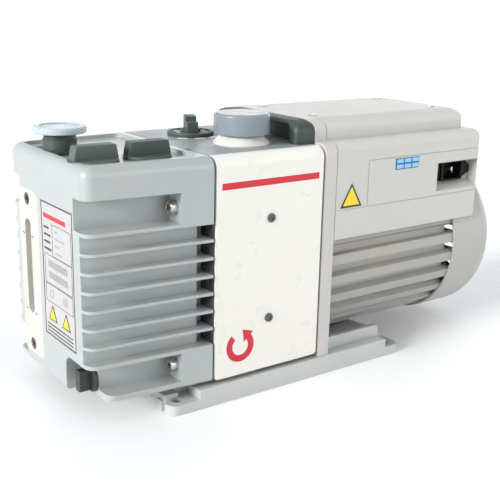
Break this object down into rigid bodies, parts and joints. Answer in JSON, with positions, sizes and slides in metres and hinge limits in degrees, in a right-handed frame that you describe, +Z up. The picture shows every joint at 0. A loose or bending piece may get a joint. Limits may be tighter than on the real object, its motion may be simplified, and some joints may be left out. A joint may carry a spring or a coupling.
{
  "type": "rotary vane vacuum pump",
  "caption": "Direct-drive two-stage rotary vane vacuum pump with finned oil box, capped ports, gas ballast knob, carrying handle, motor cover and rail base.",
  "frame": {"origin": "centre of the overall footprint, on the floor the base rests on", "axes": "+X from the oil-box end face to the fan cowl along the shaft, +Z up, the mains inlet faces -Y"},
  "size_m": [0.427, 0.158, 0.223],
  "materials": {
    "casting_grey": "satin fine orange-peel paint on an aluminium casting",
    "casting_blue_grey": "satin fine orange-peel paint on an aluminium casting",
    "casting_warm_grey": "satin fine orange-peel paint on an aluminium casting",
    "cover_grey": "satin smooth paint",
    "white_panel": "smooth satin powder coat",
    "grey_green_plastic": "fine spark-eroded texture",
    "black_plastic": "moulded, semi-matt",
    "white_plastic": "moulded, semi-gloss",
    "cream_plastic": "moulded, semi-gloss",
    "translucent_plastic": "soft translucent moulding",
    "blue_plastic": "printed plate, two blank windows",
    "label_film": null,
    "zinc_steel": "bright zinc plate",
    "black_steel": "black oxide",
    "sheet_steel": "bare sheet",
    "bearing_steel": "ground",
    "lamination_steel": "stacked laminations",
    "bright_pin": "nickel plate",
    "bare_aluminium": "as cast",
    "cast_iron": "ground faces",
    "copper_wire": "enamelled winding wire, varnished",
    "black_rubber": "moulded nitrile",
    "red_elastomer": "moulded polyurethane",
    "filter_foam": "open foam",
    "vane_composite": "glass-filled vane composite",
    "clear_glass": "clear"
  },
  "bodies": {
    "pump_casing": {"base_plate": "casting_grey", "base_bolts": "zinc_steel", "oil_box": "casting_blue_grey", "oil_box_gasket": "black_rubber", "oil_box_screws": "zinc_steel", "rating_plate": "label_film", "sight_glass_plate": "casting_warm_grey", "sight_glass": "clear_glass", "sight_glass_seal": "black_rubber", "sight_glass_screws": "black_steel", "outlet_nozzle": "grey_green_plastic", "mist_filter": "filter_foam", "mist_baffle": "sheet_steel", "pump_body": "casting_blue_grey", "side_panel_near": "white_panel", "side_panel_far": "white_panel", "panel_screws": "black_steel", "inlet_nozzle": "cream_plastic", "inlet_strainer": "sheet_steel", "hv_stator": "cast_iron", "intermediate_plate": "cast_iron", "lv_stator": "cast_iron", "end_plate": "cast_iron", "stage_bolts": "zinc_steel", "exhaust_valve": "sheet_steel", "shaft_seal": "black_rubber", "adaptor_frame": "casting_warm_grey", "carry_handle": "grey_green_plastic", "motor_cover": "cover_grey", "cover_screws": "zinc_steel", "power_inlet": "black_plastic", "power_inlet_pins": "bright_pin", "voltage_plate": "blue_plastic", "motor_body": "casting_warm_grey", "motor_end_shield": "bare_aluminium", "bearing_outer_rings": "bearing_steel", "stator_core": "lamination_steel", "stator_windings": "copper_wire", "fan_cowl": "cover_grey", "cowl_screws": "zinc_steel", "capacitor": "white_plastic", "terminal_block": "black_plastic"},
    "rotating_group": {"pump_shaft": "bearing_steel", "vane_rotors": "cast_iron", "vanes": "vane_composite", "coupling_pump_half": "bare_aluminium", "coupling_spider": "red_elastomer", "coupling_motor_half": "bare_aluminium", "motor_shaft": "bearing_steel", "motor_rotor": "lamination_steel", "bearing_inner_rings": "bearing_steel", "bearing_balls": "bearing_steel", "fan": "black_plastic"},
    "gas_ballast_knob": {"gas_ballast_knob": "grey_green_plastic"},
    "mode_selector_knob": {"mode_selector_knob": "grey_green_plastic"},
    "filler_plug_front": {"filler_plug_front": "grey_green_plastic"},
    "filler_plug_rear": {"filler_plug_rear": "grey_green_plastic"},
    "drain_plug": {"drain_plug": "grey_green_plastic"},
    "inlet_cap": {"inlet_cap": "translucent_plastic"},
    "outlet_cap": {"outlet_cap": "white_plastic"}
  },
  "joints": [
    {"name": "rotor_spin", "type": "hinge", "parent": "pump_casing", "child": "rotating_group", "pos_m": [0, 0, 0.0903], "axis": [1, 0, 0], "continuous": true},
    {"name": "gas_ballast_turn", "type": "hinge", "parent": "pump_casing", "child": "gas_ballast_knob", "pos_m": [-0.0689, 0.027, 0.198], "axis": [0, 0, 1], "range_deg": [0, 120]},
    {"name": "mode_selector_turn", "type": "hinge", "parent": "pump_casing", "child": "mode_selector_knob", "pos_m": [-0.0355, 0.073, 0.112], "axis": [0, 1, 0], "range_deg": [0, 90]},
    {"name": "filler_plug_front_turn", "type": "hinge", "parent": "pump_casing", "child": "filler_plug_front", "pos_m": [-0.1905, -0.037, 0.195], "axis": [0, 0, 1], "range_deg": [0, 360]},
    {"name": "filler_plug_rear_turn", "type": "hinge", "parent": "pump_casing", "child": "filler_plug_rear", "pos_m": [-0.1475, -0.038, 0.195], "axis": [0, 0, 1], "range_deg": [0, 360]},
    {"name": "drain_plug_turn", "type": "hinge", "parent": "pump_casing", "child": "drain_plug", "pos_m": [-0.1985, -0.0415, 0.0315], "axis": [-1, 0, 0], "range_deg": [0, 360]},
    {"name": "inlet_cap_lift", "type": "slide", "parent": "pump_casing", "child": "inlet_cap", "axis": [0, 0, 1], "range_m": [0, 0.03]},
    {"name": "outlet_cap_lift", "type": "slide", "parent": "pump_casing", "child": "outlet_cap", "axis": [0, 0, 1], "range_m": [0, 0.03]}
  ]
}
